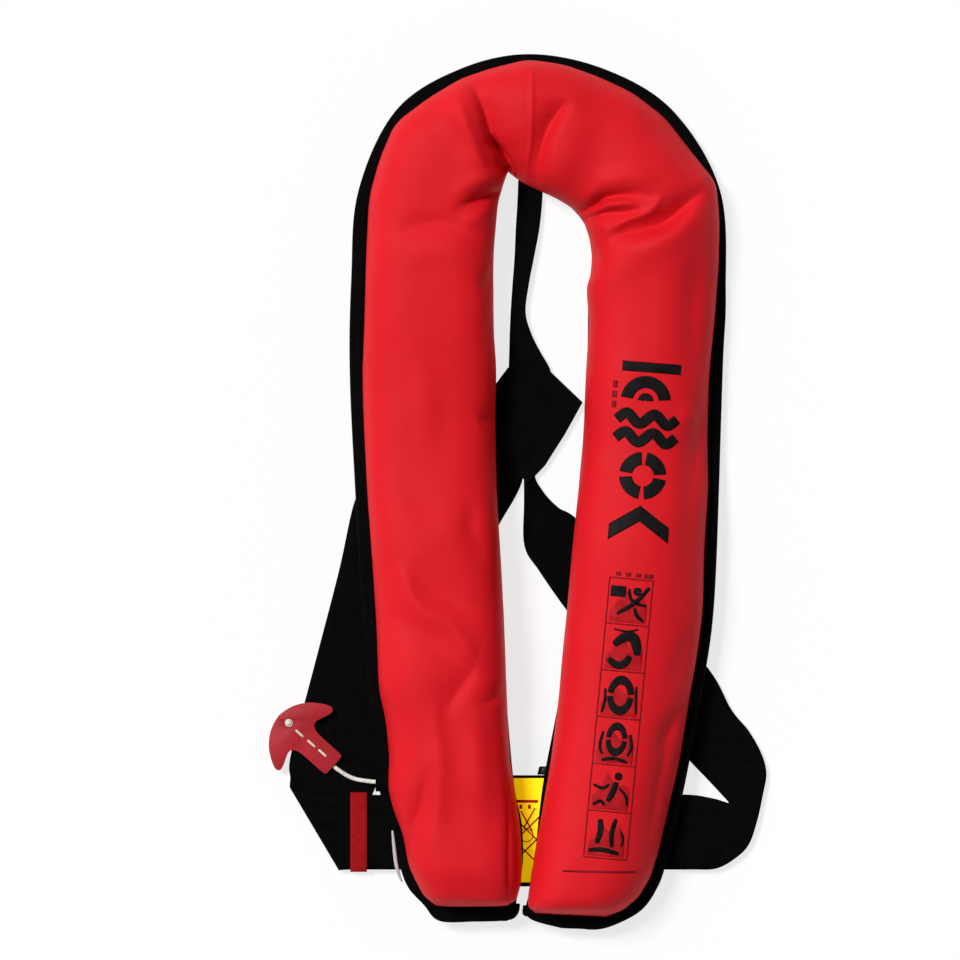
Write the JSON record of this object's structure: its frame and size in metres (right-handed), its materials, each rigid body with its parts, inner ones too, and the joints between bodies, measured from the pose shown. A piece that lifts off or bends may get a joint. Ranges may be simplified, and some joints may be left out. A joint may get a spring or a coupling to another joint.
{
  "type": "inflatable life jacket",
  "caption": "Packed inflatable life jacket: red horseshoe cover on a black back panel, with webbing straps, waist belt, buckle, pull toggle and inflation gear.",
  "frame": {"origin": "middle of the box the jacket fills, on the surface it lies on", "axes": "+Y from the waist to the collar, +Z out of the jacket's front, +X to the right seen from the front"},
  "size_m": [0.3458, 0.614, 0.0598],
  "materials": {
    "red_fabric": "coated woven polyester, soft satin sheen",
    "black_fabric": "matt woven nylon",
    "black_webbing": "ribbed polyester webbing",
    "black_plastic": "moulded acetal",
    "steel": "plated steel",
    "yellow_fabric": "coated bladder cloth",
    "yellow_plastic": "moulded plastic",
    "label_yellow": "printed woven label",
    "keeper_red": "woven elastic",
    "toggle_red": "moulded plastic",
    "cord_white": "braided cord",
    "strip_grey": "reflective piping"
  },
  "bodies": {
    "jacket": {"front_cover": "red_fabric", "back_panel": "black_fabric", "edge_binding": "black_fabric", "yoke_patch_front": "black_fabric", "yoke_patch_back": "black_fabric", "label_backing": "black_fabric", "stud_tab": "black_fabric", "closure_loop_tape": "black_fabric", "closure_hook_tape": "black_fabric", "webbing_left": "black_webbing", "webbing_right": "black_webbing", "yoke_strap_left": "black_webbing", "back_strap": "black_webbing", "belt_loop_left": "black_webbing", "belt_loop_right": "black_webbing", "whistle_lanyard": "black_webbing", "bladder_manifold": "black_plastic", "firing_head": "black_plastic", "retaining_nut": "black_plastic", "oral_tube": "black_plastic", "oral_flange": "black_plastic", "buckle_socket": "black_plastic", "press_stud": "black_plastic", "lever_pin": "steel", "pin_spring": "steel", "bladder": "yellow_fabric", "bobbin": "yellow_plastic", "whistle": "yellow_plastic", "yellow_label": "label_yellow", "edge_strip": "strip_grey"},
    "pull_handle": {"pull_toggle": "toggle_red", "pull_cord": "cord_white"},
    "lever": {"firing_lever": "black_plastic"},
    "pin": {"firing_pin": "steel"},
    "cap": {"bobbin_cap": "yellow_plastic"},
    "cylinder": {"co2_cylinder": "steel"},
    "plug": {"buckle_plug": "black_plastic"},
    "prong_upper": {"buckle_prong_upper": "black_plastic"},
    "prong_lower": {"buckle_prong_lower": "black_plastic"},
    "keeper": {"belt_keeper": "keeper_red"},
    "valve": {"oral_valve": "black_plastic"},
    "tube_cap": {"oral_cap": "black_plastic"}
  },
  "joints": [
    {"name": "toggle_pull", "type": "slide", "parent": "jacket", "child": "pull_handle", "axis": [-1, 0, 0], "range_m": [0, 0.03]},
    {"name": "lever_turn", "type": "hinge", "parent": "jacket", "child": "lever", "pos_m": [-0.07708, -0.218, 0.0273], "axis": [0, 0, 1], "range_deg": [0, 32]},
    {"name": "pin_travel", "type": "slide", "parent": "jacket", "child": "pin", "axis": [0, 1, 0], "range_m": [0, 0.0061]},
    {"name": "bobbin_cap_unscrew", "type": "hinge", "parent": "jacket", "child": "cap", "pos_m": [-0.05808, -0.234, 0.0343], "axis": [0, 1, 0], "range_deg": [0, 330]},
    {"name": "cylinder_unscrew", "type": "hinge", "parent": "jacket", "child": "cylinder", "pos_m": [-0.05808, -0.12, 0.0343], "axis": [0, 1, 0], "range_deg": [0, 330]},
    {"name": "buckle_release", "type": "slide", "parent": "jacket", "child": "plug", "axis": [1, 0, 0], "range_m": [0, 0.034]},
    {"name": "prong_upper_flex", "type": "hinge", "parent": "plug", "child": "prong_upper", "pos_m": [0.00892, -0.216, 0.0088], "axis": [0, 0, 1], "range_deg": [0, 5], "stiffness_Nm_per_rad": 0.05},
    {"name": "prong_lower_flex", "type": "hinge", "parent": "plug", "child": "prong_lower", "pos_m": [0.00892, -0.26, 0.0088], "axis": [0, 0, 1], "range_deg": [-5, 0], "stiffness_Nm_per_rad": 0.05},
    {"name": "keeper_slide", "type": "slide", "parent": "jacket", "child": "keeper", "axis": [1, 0, 0], "range_m": [0, 0.024]},
    {"name": "oral_valve_press", "type": "slide", "parent": "jacket", "child": "valve", "axis": [0, 1, 0], "range_m": [0, 0.003], "stiffness_N_per_m": 300},
    {"name": "oral_cap_pull", "type": "slide", "parent": "jacket", "child": "tube_cap", "axis": [0, -1, 0], "range_m": [0, 0.025]}
  ],
  "couplings": [
    {"joint": "lever_turn", "follows": "toggle_pull", "rad_per_m": 18.6},
    {"joint": "pin_travel", "follows": "toggle_pull", "ratio": 0.2},
    {"joint": "prong_lower_flex", "follows": "prong_upper_flex", "ratio": -1}
  ]
}
